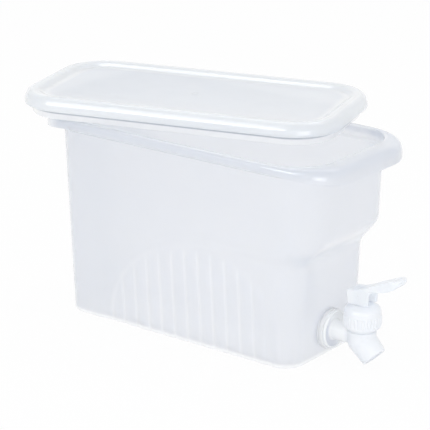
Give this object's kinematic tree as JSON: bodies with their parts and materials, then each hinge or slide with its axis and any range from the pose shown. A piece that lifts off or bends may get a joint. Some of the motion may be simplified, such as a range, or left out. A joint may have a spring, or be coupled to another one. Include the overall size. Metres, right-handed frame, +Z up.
{
  "type": "fridge water jug with tap",
  "caption": "Slim translucent fridge water tank with fluted sides, lift lips, a loose beaded lid and a spring-closed push-lever tap.",
  "frame": {"origin": "middle of the tank's flat underside", "axes": "+X towards the tap end, +Z up, +Y completes a right-handed frame; the pictured long side faces -Y"},
  "size_m": [0.3423, 0.1834, 0.1834],
  "materials": {
    "tank_plastic": "translucent natural polypropylene, satin gloss",
    "lid_plastic": "milky translucent polypropylene, glossy bead",
    "tap_plastic": "glossy white moulding",
    "silicone": "translucent white silicone",
    "spring_steel": "bright drawn stainless wire"
  },
  "bodies": {
    "jug": {"tank": "tank_plastic", "tap_body": "tap_plastic", "outer_washer": "silicone", "inner_washer": "silicone", "lock_nut": "tap_plastic", "bonnet": "tap_plastic", "bonnet_seal": "silicone", "stem_spring": "spring_steel"},
    "lid": {"lid": "lid_plastic"},
    "stem": {"valve_stem": "tap_plastic", "stem_o_ring": "silicone", "valve_plug": "silicone", "lever_pin": "tap_plastic"},
    "lever": {"lever": "tap_plastic"}
  },
  "joints": [
    {"name": "lid_lift", "type": "slide", "parent": "jug", "child": "lid", "axis": [0, 0, 1], "range_m": [0, 0.08]},
    {"name": "stem_lift", "type": "slide", "parent": "jug", "child": "stem", "axis": [0, 0, 1], "range_m": [0, 0.0025], "stiffness_N_per_m": 452, "springref_m": -0.004, "deforming": ["stem_spring"]},
    {"name": "lever_press", "type": "hinge", "parent": "stem", "child": "lever", "pos_m": [0.14223, 0, 0.055], "axis": [0, 1, 0], "range_deg": [0, 30]}
  ],
  "couplings": [
    {"joint": "lever_press", "follows": "stem_lift", "rad_per_m": 209.43}
  ]
}
